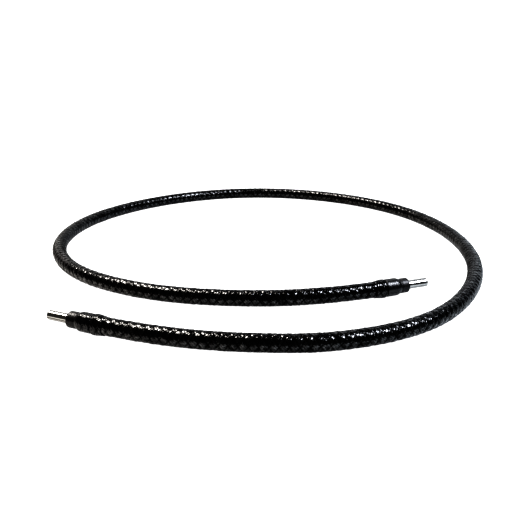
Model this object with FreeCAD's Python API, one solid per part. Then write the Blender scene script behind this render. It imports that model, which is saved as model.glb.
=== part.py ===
"""Anti-static hose with a plain steel tube stub at each end, lying on a floor in one open loop.

The hose is a carbon-filled liner, which lets static charge drain away, inside a steel wire
braid and a glossy black cover. At each end a turned insert is pushed into the liner up to its
stop ring, a steel collar is crimped over the braid and locks behind the insert's shoulder, and
a black sleeve is shrunk over the whole joint, so that only the tube stub stands out.

Millimetres, +Z up. The floor is z = 0 and the origin is below the middle of the loop.
"""

import FreeCAD, Part

import math
import os

Vector = FreeCAD.Vector
AXIS = Vector(1, 0, 0)

# Hose layers, from the bore outwards
LINER_BORE = 9.5
LINER_WALL = 1.05
BRAID_THICKNESS = 0.7
COVER_WALL = 1.5

# Middle line of the hose, from the stop ring of end a to the stop ring of end b. The hose lies on
# the floor, and rises a little at each end to enter the thicker sleeve.
ROUTE = [
    (-164.5, -256.5, 9.7),
    (-102, -282, 8.8),
    (-20, -297, 8),
    (73, -297, 8),
    (168, -253, 8),
    (234, -163, 8),
    (267.5, -56, 8),
    (267.5, 58, 8),
    (232, 165, 8),
    (157, 249, 8),
    (52, 297, 8),
    (-53, 297, 8),
    (-149, 255, 8),
    (-224, 181, 8),
    (-267.5, 86, 8),
    (-267.5, -22, 8),
    (-217, -119, 8),
    (-125, -180, 8),
    (-18, -199.5, 8),
    (78, -191.5, 8.8),
    (144.5, -168, 9.7),
]
ARC_SHARE = 0.45  # share of the shorter run that an arc takes up
LONE_ARC_SHARE = 0.95  # the most of an edge that a rounding takes up where its other end is sharp

# Tube stub, 3/8 inch tube for a compression fitting
STUB_OD = 9.525
STUB_BORE = 7.0
STUB_LENGTH = 24.0  # tip to the face of the sleeve
STUB_BORE_DEPTH = 22.0
TIP_ROUND = 0.4
BORE_ROUND = 0.25

# Rest of the insert: a neck under the sleeve's lip, a shoulder, a waist, a groove for the collar's
# lip, a stop ring and a barbed shank
NECK_STEP = 0.4
SHOULDER_OD = 13.4
SHOULDER_LENGTH = 6.8
SHOULDER_ROUND = 1.3
WAIST_OD = 11.4
WAIST_LENGTH = 2.9
LIP_GROOVE_OD = 10.2
LIP_GROOVE_LENGTH = 2.0
STOP_RING_OD = 12.4
STOP_RING_LENGTH = 1.5
SHANK_LENGTH = 19.5
SHANK_CLEARANCE = 0.25
SHANK_BORE = 6.4
SHANK_LEAD_IN = 1.2
BARB_COUNT = 5
BARB_PITCH = 3.4
BARB_BITE = 0.35
BARB_START = 0.8

# Crimped collar
COLLAR_WALL = 1.7
COLLAR_LENGTH = 16.0
COLLAR_CHAMFER_LENGTH = 2.2
COLLAR_CHAMFER_HEIGHT = 1.2
COLLAR_ROUND = 0.4
LIP_CLEARANCE = 0.05
STOP_RING_CLEARANCE = 0.5
CRIMP_DIES = 8
CRIMP_DEPTH = 0.22
CRIMP_FRONT_LAND = 4.0
CRIMP_REAR_LAND = 2.0

# Shrunk sleeve
SLEEVE_WALL = 1.3
WAIST_SINK = 0.5  # how far the sleeve draws in between the shoulder and the collar
SEAM_SINK = 0.45  # how far it draws in between the collar and the cover
TAIL_LENGTH = 11.8  # grip on the cover
TAIL_EDGE = 0.25
TAIL_LAND = 3.6
COVER_GAP = 1.2  # bare braid between the collar and the trimmed cover

# Radii of the layers, and of the insert where the sleeve's lip grips it
LINER_R = LINER_BORE / 2 + LINER_WALL
BRAID_R = LINER_R + BRAID_THICKNESS
HOSE_R = BRAID_R + COVER_WALL
NECK_R = STUB_OD / 2 + NECK_STEP

# Places along the fitting, from the tip of the stub inwards
SHOULDER_FRONT = STUB_LENGTH + SLEEVE_WALL
SHOULDER_BACK = SHOULDER_FRONT + SHOULDER_LENGTH
GROOVE_FRONT = SHOULDER_BACK + WAIST_LENGTH
GROOVE_BACK = GROOVE_FRONT + LIP_GROOVE_LENGTH
HOSE_SEAT = GROOVE_BACK + STOP_RING_LENGTH
SHANK_END = HOSE_SEAT + SHANK_LENGTH
COLLAR_FRONT = GROOVE_FRONT + LIP_CLEARANCE
COLLAR_REAR = COLLAR_FRONT + COLLAR_LENGTH
COVER_START = COLLAR_REAR + COVER_GAP
TAIL_END = COVER_START + TAIL_LENGTH
COLLAR_R = BRAID_R + COLLAR_WALL


def bend(before, corner, after, setback):
    """Return the arc that rounds a corner from the setback on one side to the other, and its radius."""
    back = (before - corner).normalize()
    ahead = (after - corner).normalize()
    half_turn = (math.pi - back.getAngle(ahead)) / 2
    radius = setback / math.tan(half_turn)
    middle = corner + (back + ahead).normalize() * (radius / math.cos(half_turn) - radius)
    return Part.Arc(corner + back * setback, middle, corner + ahead * setback), radius


def outline(corners):
    """Return a closed wire through corners given as (place along the axis, radius, rounding)."""
    points = [Vector(place, radius, 0) for place, radius, rounding in corners]
    edges = []
    starts = []
    ends = []
    for i, (place, radius, rounding) in enumerate(corners):
        before, corner, after = points[i - 1], points[i], points[(i + 1) % len(points)]
        if rounding == 0:
            starts.append(corner)
            ends.append(corner)
            continue
        half_turn = (math.pi - (before - corner).getAngle(after - corner)) / 2
        shared_before = ARC_SHARE if corners[i - 1][2] else LONE_ARC_SHARE
        shared_after = ARC_SHARE if corners[(i + 1) % len(corners)][2] else LONE_ARC_SHARE
        room = min((before - corner).Length * shared_before, (after - corner).Length * shared_after)
        arc, _ = bend(before, corner, after, min(rounding * math.tan(half_turn), room))
        edges.append(arc.toShape())
        starts.append(arc.StartPoint)
        ends.append(arc.EndPoint)
    for i, end in enumerate(ends):
        edges.append(Part.LineSegment(end, starts[(i + 1) % len(starts)]).toShape())
    return Part.Wire(Part.__sortEdges__(edges))


def turned(corners):
    """Return the solid that the closed outline of the corners sweeps round the fitting's axis."""
    return Part.Face(outline(corners)).revolve(Vector(), AXIS, 360)


def insert():
    """Return the stub, shoulder and barbed shank, turned from one bar and bored through."""
    stub_r = STUB_OD / 2
    shank_r = LINER_BORE / 2 - SHANK_CLEARANCE
    barb_r = LINER_BORE / 2 + BARB_BITE
    corners = [
        (0, STUB_BORE / 2, BORE_ROUND),
        (0, stub_r, TIP_ROUND),
        (STUB_LENGTH, stub_r, 0),
        (STUB_LENGTH, NECK_R, 0),
        (SHOULDER_FRONT, NECK_R, 0),
        (SHOULDER_FRONT, SHOULDER_OD / 2, SHOULDER_ROUND),
        (SHOULDER_BACK, SHOULDER_OD / 2, TIP_ROUND),
        (SHOULDER_BACK, WAIST_OD / 2, 0),
        (GROOVE_FRONT, WAIST_OD / 2, 0),
        (GROOVE_FRONT, LIP_GROOVE_OD / 2, 0),
        (GROOVE_BACK, LIP_GROOVE_OD / 2, 0),
        (GROOVE_BACK, STOP_RING_OD / 2, 0),
        (HOSE_SEAT, STOP_RING_OD / 2, 0),
        (HOSE_SEAT, shank_r, 0),
    ]
    for i in range(BARB_COUNT):
        place = HOSE_SEAT + BARB_START + i * BARB_PITCH
        corners.append((place, shank_r, 0))
        corners.append((place, barb_r, 0))
    corners += [
        (HOSE_SEAT + BARB_START + BARB_COUNT * BARB_PITCH, shank_r, 0),
        (SHANK_END - SHANK_LEAD_IN, shank_r, 0),
        (SHANK_END, shank_r - SHANK_LEAD_IN / 2, 0),
        (SHANK_END, SHANK_BORE / 2, 0),
        (STUB_BORE_DEPTH + (STUB_BORE - SHANK_BORE) / 2, SHANK_BORE / 2, 0),
        (STUB_BORE_DEPTH, STUB_BORE / 2, 0),
    ]
    return turned(corners)


def collar():
    """Return the collar, its lip in the insert's groove and flats where the crimping dies pressed."""
    lip_r = LIP_GROOVE_OD / 2 + LIP_CLEARANCE
    lip_back = GROOVE_BACK - LIP_CLEARANCE
    recess_r = STOP_RING_OD / 2 + STOP_RING_CLEARANCE
    body = turned(
        [
            (COLLAR_FRONT, lip_r, 0),
            (COLLAR_FRONT, COLLAR_R - COLLAR_CHAMFER_HEIGHT, 0),
            (COLLAR_FRONT + COLLAR_CHAMFER_LENGTH, COLLAR_R, 0),
            (COLLAR_REAR, COLLAR_R, COLLAR_ROUND),
            (COLLAR_REAR, BRAID_R, 0),
            (HOSE_SEAT, BRAID_R, 0),
            (HOSE_SEAT, recess_r, 0),
            (lip_back, recess_r, 0),
            (lip_back, lip_r, 0),
        ]
    )
    front = COLLAR_FRONT + CRIMP_FRONT_LAND
    length = COLLAR_REAR - CRIMP_REAR_LAND - front
    flats = []
    for i in range(CRIMP_DIES):
        die = Part.makeBox(length, 2 * COLLAR_R, COLLAR_R, Vector(front, -COLLAR_R, COLLAR_R - CRIMP_DEPTH))
        die.rotate(Vector(), AXIS, i * 360 / CRIMP_DIES)
        flats.append(die)
    return body.cut(flats)


def sleeve():
    """Return the shrunk sleeve, which follows the shoulder, the collar and the end of the cover."""
    shoulder_r = SHOULDER_OD / 2
    waist_r = shoulder_r - WAIST_SINK
    waist_front = SHOULDER_BACK + WAIST_SINK
    waist_back = GROOVE_FRONT - WAIST_SINK
    chamfer_r = COLLAR_R - COLLAR_CHAMFER_HEIGHT
    barrel_front = COLLAR_FRONT + COLLAR_CHAMFER_LENGTH
    seam = COLLAR_REAR + COVER_GAP / 2
    seam_r = COLLAR_R - SEAM_SINK
    tail_r = HOSE_R + SLEEVE_WALL
    inside = [
        (TAIL_END, HOSE_R, 0),
        (COVER_START, HOSE_R, 0),
        (seam, seam_r, 0),
        (COLLAR_REAR, COLLAR_R, 0),
        (barrel_front, COLLAR_R, 0),
        (COLLAR_FRONT, chamfer_r, 0),
        (waist_back, waist_r, 0),
        (waist_front, waist_r, 0),
        (SHOULDER_BACK, shoulder_r, 0),
        (SHOULDER_FRONT, shoulder_r, SHOULDER_ROUND),
        (SHOULDER_FRONT, NECK_R, 0),
    ]
    outside = [
        (STUB_LENGTH, NECK_R, 0),
        (STUB_LENGTH, shoulder_r + SLEEVE_WALL, SHOULDER_ROUND + SLEEVE_WALL),
        (SHOULDER_BACK, shoulder_r + SLEEVE_WALL, SLEEVE_WALL),
        ((waist_front + waist_back) / 2, waist_r + SLEEVE_WALL, SLEEVE_WALL),
        (barrel_front, COLLAR_R + SLEEVE_WALL, 2 * SLEEVE_WALL),
        (COLLAR_REAR - SEAM_SINK, COLLAR_R + SLEEVE_WALL, SLEEVE_WALL),
        (seam, seam_r + SLEEVE_WALL, SEAM_SINK),
        (COVER_START + SEAM_SINK, tail_r, SLEEVE_WALL),
        (COVER_START + TAIL_LAND, tail_r, TAIL_LAND),
        (TAIL_END, HOSE_R + TAIL_EDGE, 0),
    ]
    return turned(inside + outside)


def route_wire(trim):
    """Return the hose's middle line, shortened by the trim at both ends, and the radii of its arcs."""
    points = [Vector(*point) for point in ROUTE]
    start = points[0] + (points[1] - points[0]).normalize() * trim
    end = points[-1] + (points[-2] - points[-1]).normalize() * trim
    edges = []
    radii = []
    for before, corner, after in zip(points, points[1:], points[2:]):
        setback = ARC_SHARE * min((corner - before).Length, (after - corner).Length)
        arc, radius = bend(before, corner, after, setback)
        edges.append(Part.LineSegment(start, arc.StartPoint).toShape())
        edges.append(arc.toShape())
        radii.append(radius)
        start = arc.EndPoint
    edges.append(Part.LineSegment(start, end).toShape())
    return Part.Wire(edges), radii


def layer(inner_r, outer_r, trim):
    """Return one layer of the hose along the route, and its section times its length."""
    wire, _ = route_wire(trim)
    start = wire.Edges[0].Curve.value(wire.Edges[0].FirstParameter)
    heading = wire.Edges[0].tangentAt(wire.Edges[0].FirstParameter)
    skins = []
    for radius in (outer_r, inner_r):
        ring = Part.Wire([Part.makeCircle(radius, start, heading)])
        skins.append(wire.makePipeShell([ring], True, False))
    section = math.pi * (outer_r**2 - inner_r**2)
    return skins[0].cut(skins[1]), section * wire.Length


def place_fitting(shape, seat, ahead):
    """Return the fitting piece moved so that the hose seats at the route's end and points along it."""
    heading = (ahead - seat).normalize()
    moved = shape.copy()
    moved.Placement = FreeCAD.Placement(seat - heading * HOSE_SEAT, FreeCAD.Rotation(AXIS, heading))
    return moved


def build():
    """Return every piece of the hose by its node name, and the expected volume of each hose layer."""
    nodes = {}
    ends = {"a": (ROUTE[0], ROUTE[1]), "b": (ROUTE[-1], ROUTE[-2])}
    for end, (seat, ahead) in ends.items():
        for name, shape in (("stub_insert", insert()), ("crimp_collar", collar()), ("end_sleeve", sleeve())):
            nodes[f"{name}_{end}"] = place_fitting(shape, Vector(*seat), Vector(*ahead))
    expected = {}
    layers = {
        "hose_liner": (LINER_BORE / 2, LINER_R, 0),
        "wire_braid": (LINER_R, BRAID_R, 0),
        "hose_cover": (BRAID_R, HOSE_R, COVER_START - HOSE_SEAT),
    }
    for name, (inner_r, outer_r, trim) in layers.items():
        nodes[name], expected[name] = layer(inner_r, outer_r, trim)
    # the barbs bite into the liner, which takes their shape
    nodes["hose_liner"] = nodes["hose_liner"].cut([nodes["stub_insert_a"], nodes["stub_insert_b"]])
    return nodes, expected


def main():
    """Build every piece, print the figures that show the hose is sound, and write one STEP file each."""
    os.makedirs("parts", exist_ok=True)
    nodes, expected = build()
    wire, radii = route_wire(0)
    print("hose length", round(wire.Length, 1), "arc radii", [round(radius) for radius in radii])
    for name, shape in nodes.items():
        print(name, "valid", shape.isValid(), "solids", len(shape.Solids), "volume", round(shape.Volume, 1))
        if name in expected:
            print("    section times length", round(expected[name], 1))
        shape.exportStep(f"parts/{name}.step")


main()
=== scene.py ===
"""Looks of an anti-static hose: its braided glossy cover, shrunk sleeves, steel stubs and a plain studio.

Everything is in metres in the part's own frame, +Z up, with the floor at z = 0. The hose lies in one
open loop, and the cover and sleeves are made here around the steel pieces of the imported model.
"""

import logging
import math
from dataclasses import dataclass, field
from enum import Enum
from typing import Any

import bpy
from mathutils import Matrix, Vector


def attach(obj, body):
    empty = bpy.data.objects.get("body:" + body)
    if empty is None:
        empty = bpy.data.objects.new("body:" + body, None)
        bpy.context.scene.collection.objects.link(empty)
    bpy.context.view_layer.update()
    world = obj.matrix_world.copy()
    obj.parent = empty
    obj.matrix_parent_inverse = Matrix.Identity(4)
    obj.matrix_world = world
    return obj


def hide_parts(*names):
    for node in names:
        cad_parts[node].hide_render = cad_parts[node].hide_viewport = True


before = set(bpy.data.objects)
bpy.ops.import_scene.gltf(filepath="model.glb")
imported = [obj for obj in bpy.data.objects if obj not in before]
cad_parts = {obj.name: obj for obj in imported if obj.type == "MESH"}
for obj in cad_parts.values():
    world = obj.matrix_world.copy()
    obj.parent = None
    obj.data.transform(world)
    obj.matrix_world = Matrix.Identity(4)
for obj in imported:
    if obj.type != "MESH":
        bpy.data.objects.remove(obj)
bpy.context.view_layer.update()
LOG = logging.getLogger("hose")
Socket = bpy.types.NodeSocket

MM = 0.001
IMAGE_WIDTH = 520  # pixels, the picture's side

# Middle line of the hose from the stop ring of end a to the stop ring of end b, in millimetres
ROUTE = [
    (-164.5, -256.5, 9.7),
    (-102, -282, 8.8),
    (-20, -297, 8),
    (73, -297, 8),
    (168, -253, 8),
    (234, -163, 8),
    (267.5, -56, 8),
    (267.5, 58, 8),
    (232, 165, 8),
    (157, 249, 8),
    (52, 297, 8),
    (-53, 297, 8),
    (-149, 255, 8),
    (-224, 181, 8),
    (-267.5, 86, 8),
    (-267.5, -22, 8),
    (-217, -119, 8),
    (-125, -180, 8),
    (-18, -199.5, 8),
    (78, -191.5, 8.8),
    (144.5, -168, 9.7),
]


def linear_colour(code: str) -> tuple[float, float, float, float]:
    """Turn an sRGB colour into the linear values that the nodes take.

    Args:
        code: six hex digits after a hash sign.

    Returns:
        Linear red, green and blue, and an alpha of 1.
    """
    parts = []
    for start in (1, 3, 5):
        value = int(code[start : start + 2], 16) / 255
        parts.append(value / 12.92 if value <= 0.04045 else ((value + 0.055) / 1.055) ** 2.4)
    return (parts[0], parts[1], parts[2], 1.0)


def add_node(tree: bpy.types.NodeTree, kind: str, *values: Any, **settings: Any) -> bpy.types.Node:
    """Add a node with its settings, and feed its inputs.

    Args:
        tree: the node tree, of a material, the world or geometry.
        kind: the node's type name.
        *values: one for each input in order, as a socket to link, a number to set or None to leave.
        **settings: the node's own properties, and under "feeds" a dict of inputs by name.

    Returns:
        The new node.
    """
    feeds = settings.pop("feeds", {})
    node = tree.nodes.new(kind)
    for name, value in settings.items():
        setattr(node, name, value)
    for key, value in [*enumerate(values), *feeds.items()]:
        if value is None:
            continue
        if isinstance(value, Socket):
            tree.links.new(value, node.inputs[key])
        else:
            node.inputs[key].default_value = value
    return node


def empty_material(name: str) -> tuple[bpy.types.Material, bpy.types.NodeTree]:
    """Make a material with no nodes in it.

    Args:
        name: the material's name.

    Returns:
        The material and its tree.
    """
    made = bpy.data.materials.new(name)
    made.use_nodes = True
    made.node_tree.nodes.clear()
    return made, made.node_tree


def end_material(tree: bpy.types.NodeTree, feeds: dict[str, Any]) -> None:
    """Add a material's last nodes: its shader, with the inputs that are given, and the output."""
    shader = add_node(tree, "ShaderNodeBsdfPrincipled", feeds=feeds)
    add_node(tree, "ShaderNodeOutputMaterial", shader.outputs[0])


def start_tree(name: str, inputs: dict[str, str]) -> tuple[bpy.types.NodeTree, Any]:
    """Start a geometry tree.

    Args:
        name: the tree's name.
        inputs: the kind of each input, by its name.

    Returns:
        The tree, and the sockets that its inputs come out of.
    """
    tree = bpy.data.node_groups.new(name, "GeometryNodeTree")
    for label, kind in inputs.items():
        tree.interface.new_socket(label, in_out="INPUT", socket_type=f"NodeSocket{kind}")
    tree.interface.new_socket("Shape", in_out="OUTPUT", socket_type="NodeSocketGeometry")
    return tree, add_node(tree, "NodeGroupInput").outputs


def end_tree(tree: bpy.types.NodeTree, shape: Socket, finish: Socket) -> None:
    """Add the last nodes of a geometry tree: smooth shading, real geometry and its material.

    Args:
        tree: the geometry tree.
        shape: socket of the finished shape.
        finish: socket of its material.
    """
    smooth = add_node(tree, "GeometryNodeSetShadeSmooth", shape).outputs[0]
    real = add_node(tree, "GeometryNodeRealizeInstances", smooth).outputs[0]
    dressed = add_node(tree, "GeometryNodeSetMaterial", real, feeds={"Material": finish}).outputs[0]
    add_node(tree, "NodeGroupOutput", dressed)


@dataclass(frozen=True)
class Braid:
    """The braid that shows through the cover: two sets of bands that cross over and under."""

    bands: int = 4  # bands that run each way round the hose
    ribs: int = 3  # yarns side by side in a band
    rib_spacing: float = 2.89 * MM  # along the hose
    samples: int = 3  # points of the mesh to a rib, both ways
    crown_power: float = 4.0  # how flat a band's back is from edge to edge
    groove_power: float = 2.0  # how flat a rib's crest is, and how narrow the groove beside it
    lane_step: float = 7.0  # between the numbers of crossings in neighbouring lanes
    crossing_step: float = 3.7  # between the numbers of ribs in neighbouring crossings

    @property
    def cell(self) -> float:
        """Length of one crossing along the hose."""
        return self.ribs * self.rib_spacing

    @property
    def around(self) -> int:
        """Points of the mesh round the hose."""
        return self.bands * self.ribs * self.samples

    @property
    def step(self) -> float:
        """Distance between the rings of the mesh."""
        return self.rib_spacing / self.samples

    def relief(
        self, tree: bpy.types.NodeTree, lanes: Socket, rows: Socket
    ) -> tuple[Socket, Socket, Socket, Socket]:
        """Add the nodes that say where a point lies on the bands.

        Args:
            tree: a material's or a geometry tree.
            lanes: socket that counts bands round the hose.
            rows: socket that counts crossings along the hose.

        Returns:
            Sockets from 0 to 1 for how high the band's back is and how high its rib is, and two numbers:
            one that is the same all over one crossing, and one all over one rib of it.
        """
        steps = {
            "rising": ("ADD", "lanes", "rows"),
            "falling": ("SUBTRACT", "lanes", "rows"),
            "across rising": ("FRACT", "rising"),
            "across falling": ("FRACT", "falling"),
            "lane rising": ("FLOOR", "rising"),
            "lane falling": ("FLOOR", "falling"),
            "both lanes": ("ADD", "lane rising", "lane falling"),
            "on top": ("FLOORED_MODULO", "both lanes", 2.0),
            "difference": ("SUBTRACT", "across falling", "across rising"),
            "across": ("MULTIPLY_ADD", "difference", "on top", "across rising"),
            "sum": ("ADD", "across falling", "across rising"),
            "along": ("SUBTRACT", "sum", "across"),
            "turn": ("MULTIPLY", "along", math.pi),
            "arch": ("SINE", "turn"),
            "off middle": ("MULTIPLY_ADD", "across", 2.0, -1.0),
            "edge": ("POWER", "off middle", self.crown_power),
            "crown": ("SUBTRACT", 1.0, "edge"),
            "back": ("MULTIPLY", "arch", "crown"),
            "rib place": ("MULTIPLY", "across", float(self.ribs)),
            "in rib": ("FRACT", "rib place"),
            "off crest": ("MULTIPLY_ADD", "in rib", 2.0, -1.0),
            "square": ("MULTIPLY", "off crest", "off crest"),
            "fall": ("POWER", "square", self.groove_power / 2),
            "rib": ("SUBTRACT", 1.0, "fall"),
            "crossing": ("MULTIPLY_ADD", "lane rising", self.lane_step, "lane falling"),
            "in band": ("FLOOR", "rib place"),
            "number": ("MULTIPLY_ADD", "crossing", self.crossing_step, "in band"),
        }
        found = {"lanes": lanes, "rows": rows}
        for name, (operation, *values) in steps.items():
            known = [found.get(value, value) for value in values]
            found[name] = add_node(tree, "ShaderNodeMath", *known, operation=operation).outputs[0]
        return found["back"], found["rib"], found["crossing"], found["number"]


@dataclass(frozen=True)
class HoseSizes:
    """Sizes of the hose and its fittings, the same as the part's."""

    hose_radius: float = 8.0 * MM
    braid_radius: float = 6.5 * MM
    liner_radius: float = 5.8 * MM
    bore_radius: float = 4.75 * MM
    stub_radius: float = 4.7625 * MM
    stub_length: float = 24.0 * MM
    neck_step: float = 0.4 * MM
    sleeve_wall: float = 1.3 * MM
    shoulder_radius: float = 6.7 * MM
    shoulder_length: float = 6.8 * MM
    shoulder_round: float = 1.3 * MM
    waist_length: float = 2.9 * MM
    waist_sink: float = 0.5 * MM
    lip_groove_length: float = 2.0 * MM
    lip_clearance: float = 0.05 * MM
    stop_ring_length: float = 1.5 * MM
    collar_radius: float = 8.2 * MM
    collar_length: float = 16.0 * MM
    collar_chamfer_length: float = 2.2 * MM
    collar_chamfer_height: float = 1.2 * MM
    cover_gap: float = 1.2 * MM
    tail_length: float = 11.8 * MM
    tail_edge: float = 0.05 * MM  # thickness of the tail at its very end
    tail_land: float = 3.6 * MM  # how far it keeps its full thickness
    cover_swell: float = 0.9 * MM  # how far the braid's backs stand out past the hose's own radius
    tail_wall: float = 1.2 * MM  # of the shrunk sleeve where it lies on those backs
    seam_fall: float = 1.5 * MM  # how far the sleeve is drawn into the gap before the cover
    seam_edge: float = 0.25 * MM  # of the slopes on both sides of that gap

    @property
    def crest_radius(self) -> float:
        """Radius of the braid's highest backs, which the sleeve's tail lies on."""
        return self.hose_radius + self.cover_swell

    @property
    def neck_radius(self) -> float:
        """Radius of the stub's neck, which the sleeve's lip grips."""
        return self.stub_radius + self.neck_step

    @property
    def shoulder_front(self) -> float:
        """Place of the shoulder's front, from the stub's tip."""
        return self.stub_length + self.sleeve_wall

    @property
    def shoulder_back(self) -> float:
        """Place of the shoulder's back."""
        return self.shoulder_front + self.shoulder_length

    @property
    def groove_front(self) -> float:
        """Place of the front of the collar's groove."""
        return self.shoulder_back + self.waist_length

    @property
    def hose_seat(self) -> float:
        """Place where the hose meets the stop ring, which is the route's end."""
        return self.groove_front + self.lip_groove_length + self.stop_ring_length

    @property
    def collar_front(self) -> float:
        """Place of the collar's front."""
        return self.groove_front + self.lip_clearance

    @property
    def collar_rear(self) -> float:
        """Place of the collar's rear."""
        return self.collar_front + self.collar_length

    @property
    def cover_start(self) -> float:
        """Place where the trimmed cover starts."""
        return self.collar_rear + self.cover_gap

    @property
    def tail_end(self) -> float:
        """Place of the end of the sleeve's tail."""
        return self.cover_start + self.tail_length


class Texture(Enum):
    """How clearly the braid shows through a shrunk sleeve's barrel."""

    CLEAR = 0.9
    FAINT = 0.4


@dataclass(frozen=True)
class GlossSkin:
    """Glossy black skin drawn tight over braid: it shows each yarn as a soft rib with a hard glint."""

    name: str
    colour: str
    roughness: float
    rib_depth: float
    crinkle_depth: float = 0.4 * MM
    crinkle_width: float = 2.2 * MM
    smear_width: float = 14.0 * MM  # of the marks that hands leave
    smear_span: tuple[float, float] = (0.35, 0.7)  # of the noise, from clean to smeared
    smear_dulling: tuple[float, float] = (0.8, 1.5)  # times the roughness
    groove_shade_colour: float = 0.55  # painted shade: how much of the colour is left between two yarns
    groove_shade_height: float = 0.6  # of a rib, below which its side gets that much painted shade
    valley_shade_gloss: float = 0.05  # painted shade: how much of the gloss is left in the gaps between the bands
    valley_shade_height: float = 0.7
    groove_shade_gloss: float = 0.25  # painted shade: and between two yarns
    groove_gloss_shade_height: float = 0.5
    yarn_shine: float = 1.0  # specular level of the glossiest yarn
    yarn_spread: float = 0.85  # how much duller the dullest one is
    plain_dulling: float = 0.3  # how much rougher the skin is where nothing is pressed into it
    ior: float = 1.5

    def material(self, braid: Braid) -> bpy.types.Material:
        """Build the skin's material.

        Args:
            braid: the braid whose ribs show.

        Returns:
            The material, which reads the piece's own braid map and texture share.
        """
        made, tree = empty_material(self.name)
        place = add_node(tree, "ShaderNodeTexCoord").outputs["Object"]
        grid = add_node(tree, "ShaderNodeUVMap", uv_map="braid").outputs[0]
        split = add_node(tree, "ShaderNodeSeparateXYZ", grid)
        share = add_node(tree, "ShaderNodeAttribute", attribute_name="texture").outputs["Fac"]
        plain = add_node(tree, "ShaderNodeMath", 1.0, share, operation="SUBTRACT").outputs[0]
        back, rib, _, number = braid.relief(tree, split.outputs["X"], split.outputs["Y"])

        smears = add_node(
            tree,
            "ShaderNodeTexNoise",
            feeds={"Vector": place, "Scale": 1 / self.smear_width, "Detail": 3.0, "Roughness": 0.6},
        ).outputs["Fac"]
        roughness = [self.roughness * times for times in self.smear_dulling]
        smeared = add_node(tree, "ShaderNodeMapRange", smears, *self.smear_span, *roughness).outputs[0]
        dull = add_node(
            tree, "ShaderNodeMath", plain, self.plain_dulling, smeared, operation="MULTIPLY_ADD"
        ).outputs[0]
        # Painted shade: the colour darkens down each rib's sides into the groove between two yarns
        groove = add_node(
            tree, "ShaderNodeMapRange", rib, 0.0, self.groove_shade_height, self.groove_shade_colour, 1.0
        ).outputs[0]
        tint = add_node(
            tree,
            "ShaderNodeMix",
            data_type="RGBA",
            blend_type="MULTIPLY",
            feeds={"Factor": 1.0, "A": linear_colour(self.colour), "B": groove},
        ).outputs["Result"]
        feeds = {
            "Base Color": tint,
            "Roughness": dull,
            "IOR": self.ior,
            "Specular IOR Level": self.shine(tree, (back, rib), number, share, plain),
            "Normal": self.surface(tree, place, rib, number, share),
        }
        end_material(tree, feeds)
        return made

    def shine(
        self,
        tree: bpy.types.NodeTree,
        heights: tuple[Socket, Socket],
        number: Socket,
        share: Socket,
        plain: Socket,
    ) -> Socket:
        """Add the nodes that make one yarn glossier than another, and paint shade into the hollows by
        lowering their gloss.

        Args:
            tree: the material's tree.
            heights: sockets of the band's and the rib's height.
            number: socket that is the same all over one yarn of a crossing.
            share: socket of how clearly the braid shows.
            plain: socket of how little it shows.

        Returns:
            Socket of the specular level.
        """
        chance = add_node(tree, "ShaderNodeTexWhiteNoise", None, number, noise_dimensions="1D").outputs[0]
        spread = add_node(tree, "ShaderNodeMath", chance, share, operation="MULTIPLY").outputs[0]
        dullest = self.yarn_shine - self.yarn_spread
        shine = add_node(tree, "ShaderNodeMapRange", spread, 0.0, 1.0, self.yarn_shine, dullest).outputs[0]
        # Painted shade: the gloss drops in the gaps between the bands and in the grooves between yarns
        shaded_hollows = ((self.valley_shade_height, self.valley_shade_gloss), (self.groove_gloss_shade_height, self.groove_shade_gloss))
        for height, (open_height, left) in zip(heights, shaded_hollows):
            lifted = add_node(tree, "ShaderNodeMath", height, plain, operation="ADD").outputs[0]
            lit = add_node(tree, "ShaderNodeMapRange", lifted, 0.0, open_height, left, 1.0).outputs[0]
            shine = add_node(tree, "ShaderNodeMath", lit, shine, operation="MULTIPLY").outputs[0]
        return shine

    def surface(
        self, tree: bpy.types.NodeTree, place: Socket, rib: Socket, number: Socket, share: Socket
    ) -> Socket:
        """Add the nodes that raise the ribs and crinkle the skin, each yarn in its own way.

        Args:
            tree: the material's tree.
            place: socket of the point's place.
            rib: socket of the rib's height.
            number: socket that is the same all over one yarn of a crossing.
            share: socket of how clearly the braid shows.

        Returns:
            Socket of the normal.
        """
        ribs = add_node(tree, "ShaderNodeMath", rib, share, operation="MULTIPLY").outputs[0]
        ribbed = add_node(
            tree, "ShaderNodeBump", feeds={"Distance": self.rib_depth, "Height": ribs}
        ).outputs[0]
        crinkle = add_node(
            tree,
            "ShaderNodeTexNoise",
            noise_dimensions="4D",
            feeds={"Vector": place, "W": number, "Scale": 1 / self.crinkle_width, "Detail": 1.0},
        ).outputs["Fac"]
        return add_node(
            tree,
            "ShaderNodeBump",
            feeds={"Distance": self.crinkle_depth, "Height": crinkle, "Normal": ribbed},
        ).outputs[0]


@dataclass(frozen=True)
class HoseLine:
    """The hose's middle line, a smooth spline with the route's points as its control points."""

    detail: int = 48  # points of the line to each stretch of the route
    order: int = 3

    def points(self) -> list[Vector]:
        """Read the line from the spline.

        Returns:
            The points that the hose follows.
        """
        curve = bpy.data.curves.new("hose_line", "CURVE")
        curve.dimensions = "3D"
        curve.resolution_u = self.detail
        spline = curve.splines.new("NURBS")
        spline.points.add(len(ROUTE) - 1)
        for point, (x, y, z) in zip(spline.points, ROUTE):
            point.co = (x * MM, y * MM, z * MM, 1.0)
        spline.order_u = self.order
        spline.use_endpoint_u = True
        line = bpy.data.objects.new("hose_line", curve)
        bpy.context.scene.collection.objects.link(line)
        bpy.context.view_layer.update()
        mesh = bpy.data.meshes.new_from_object(line)
        points = [vertex.co.copy() for vertex in mesh.vertices]
        bpy.data.meshes.remove(mesh)
        bpy.data.objects.remove(line)
        return points


def line_length(points: list[Vector]) -> float:
    """Return the length of the line through the points."""
    return sum((after - before).length for before, after in zip(points, points[1:]))


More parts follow.
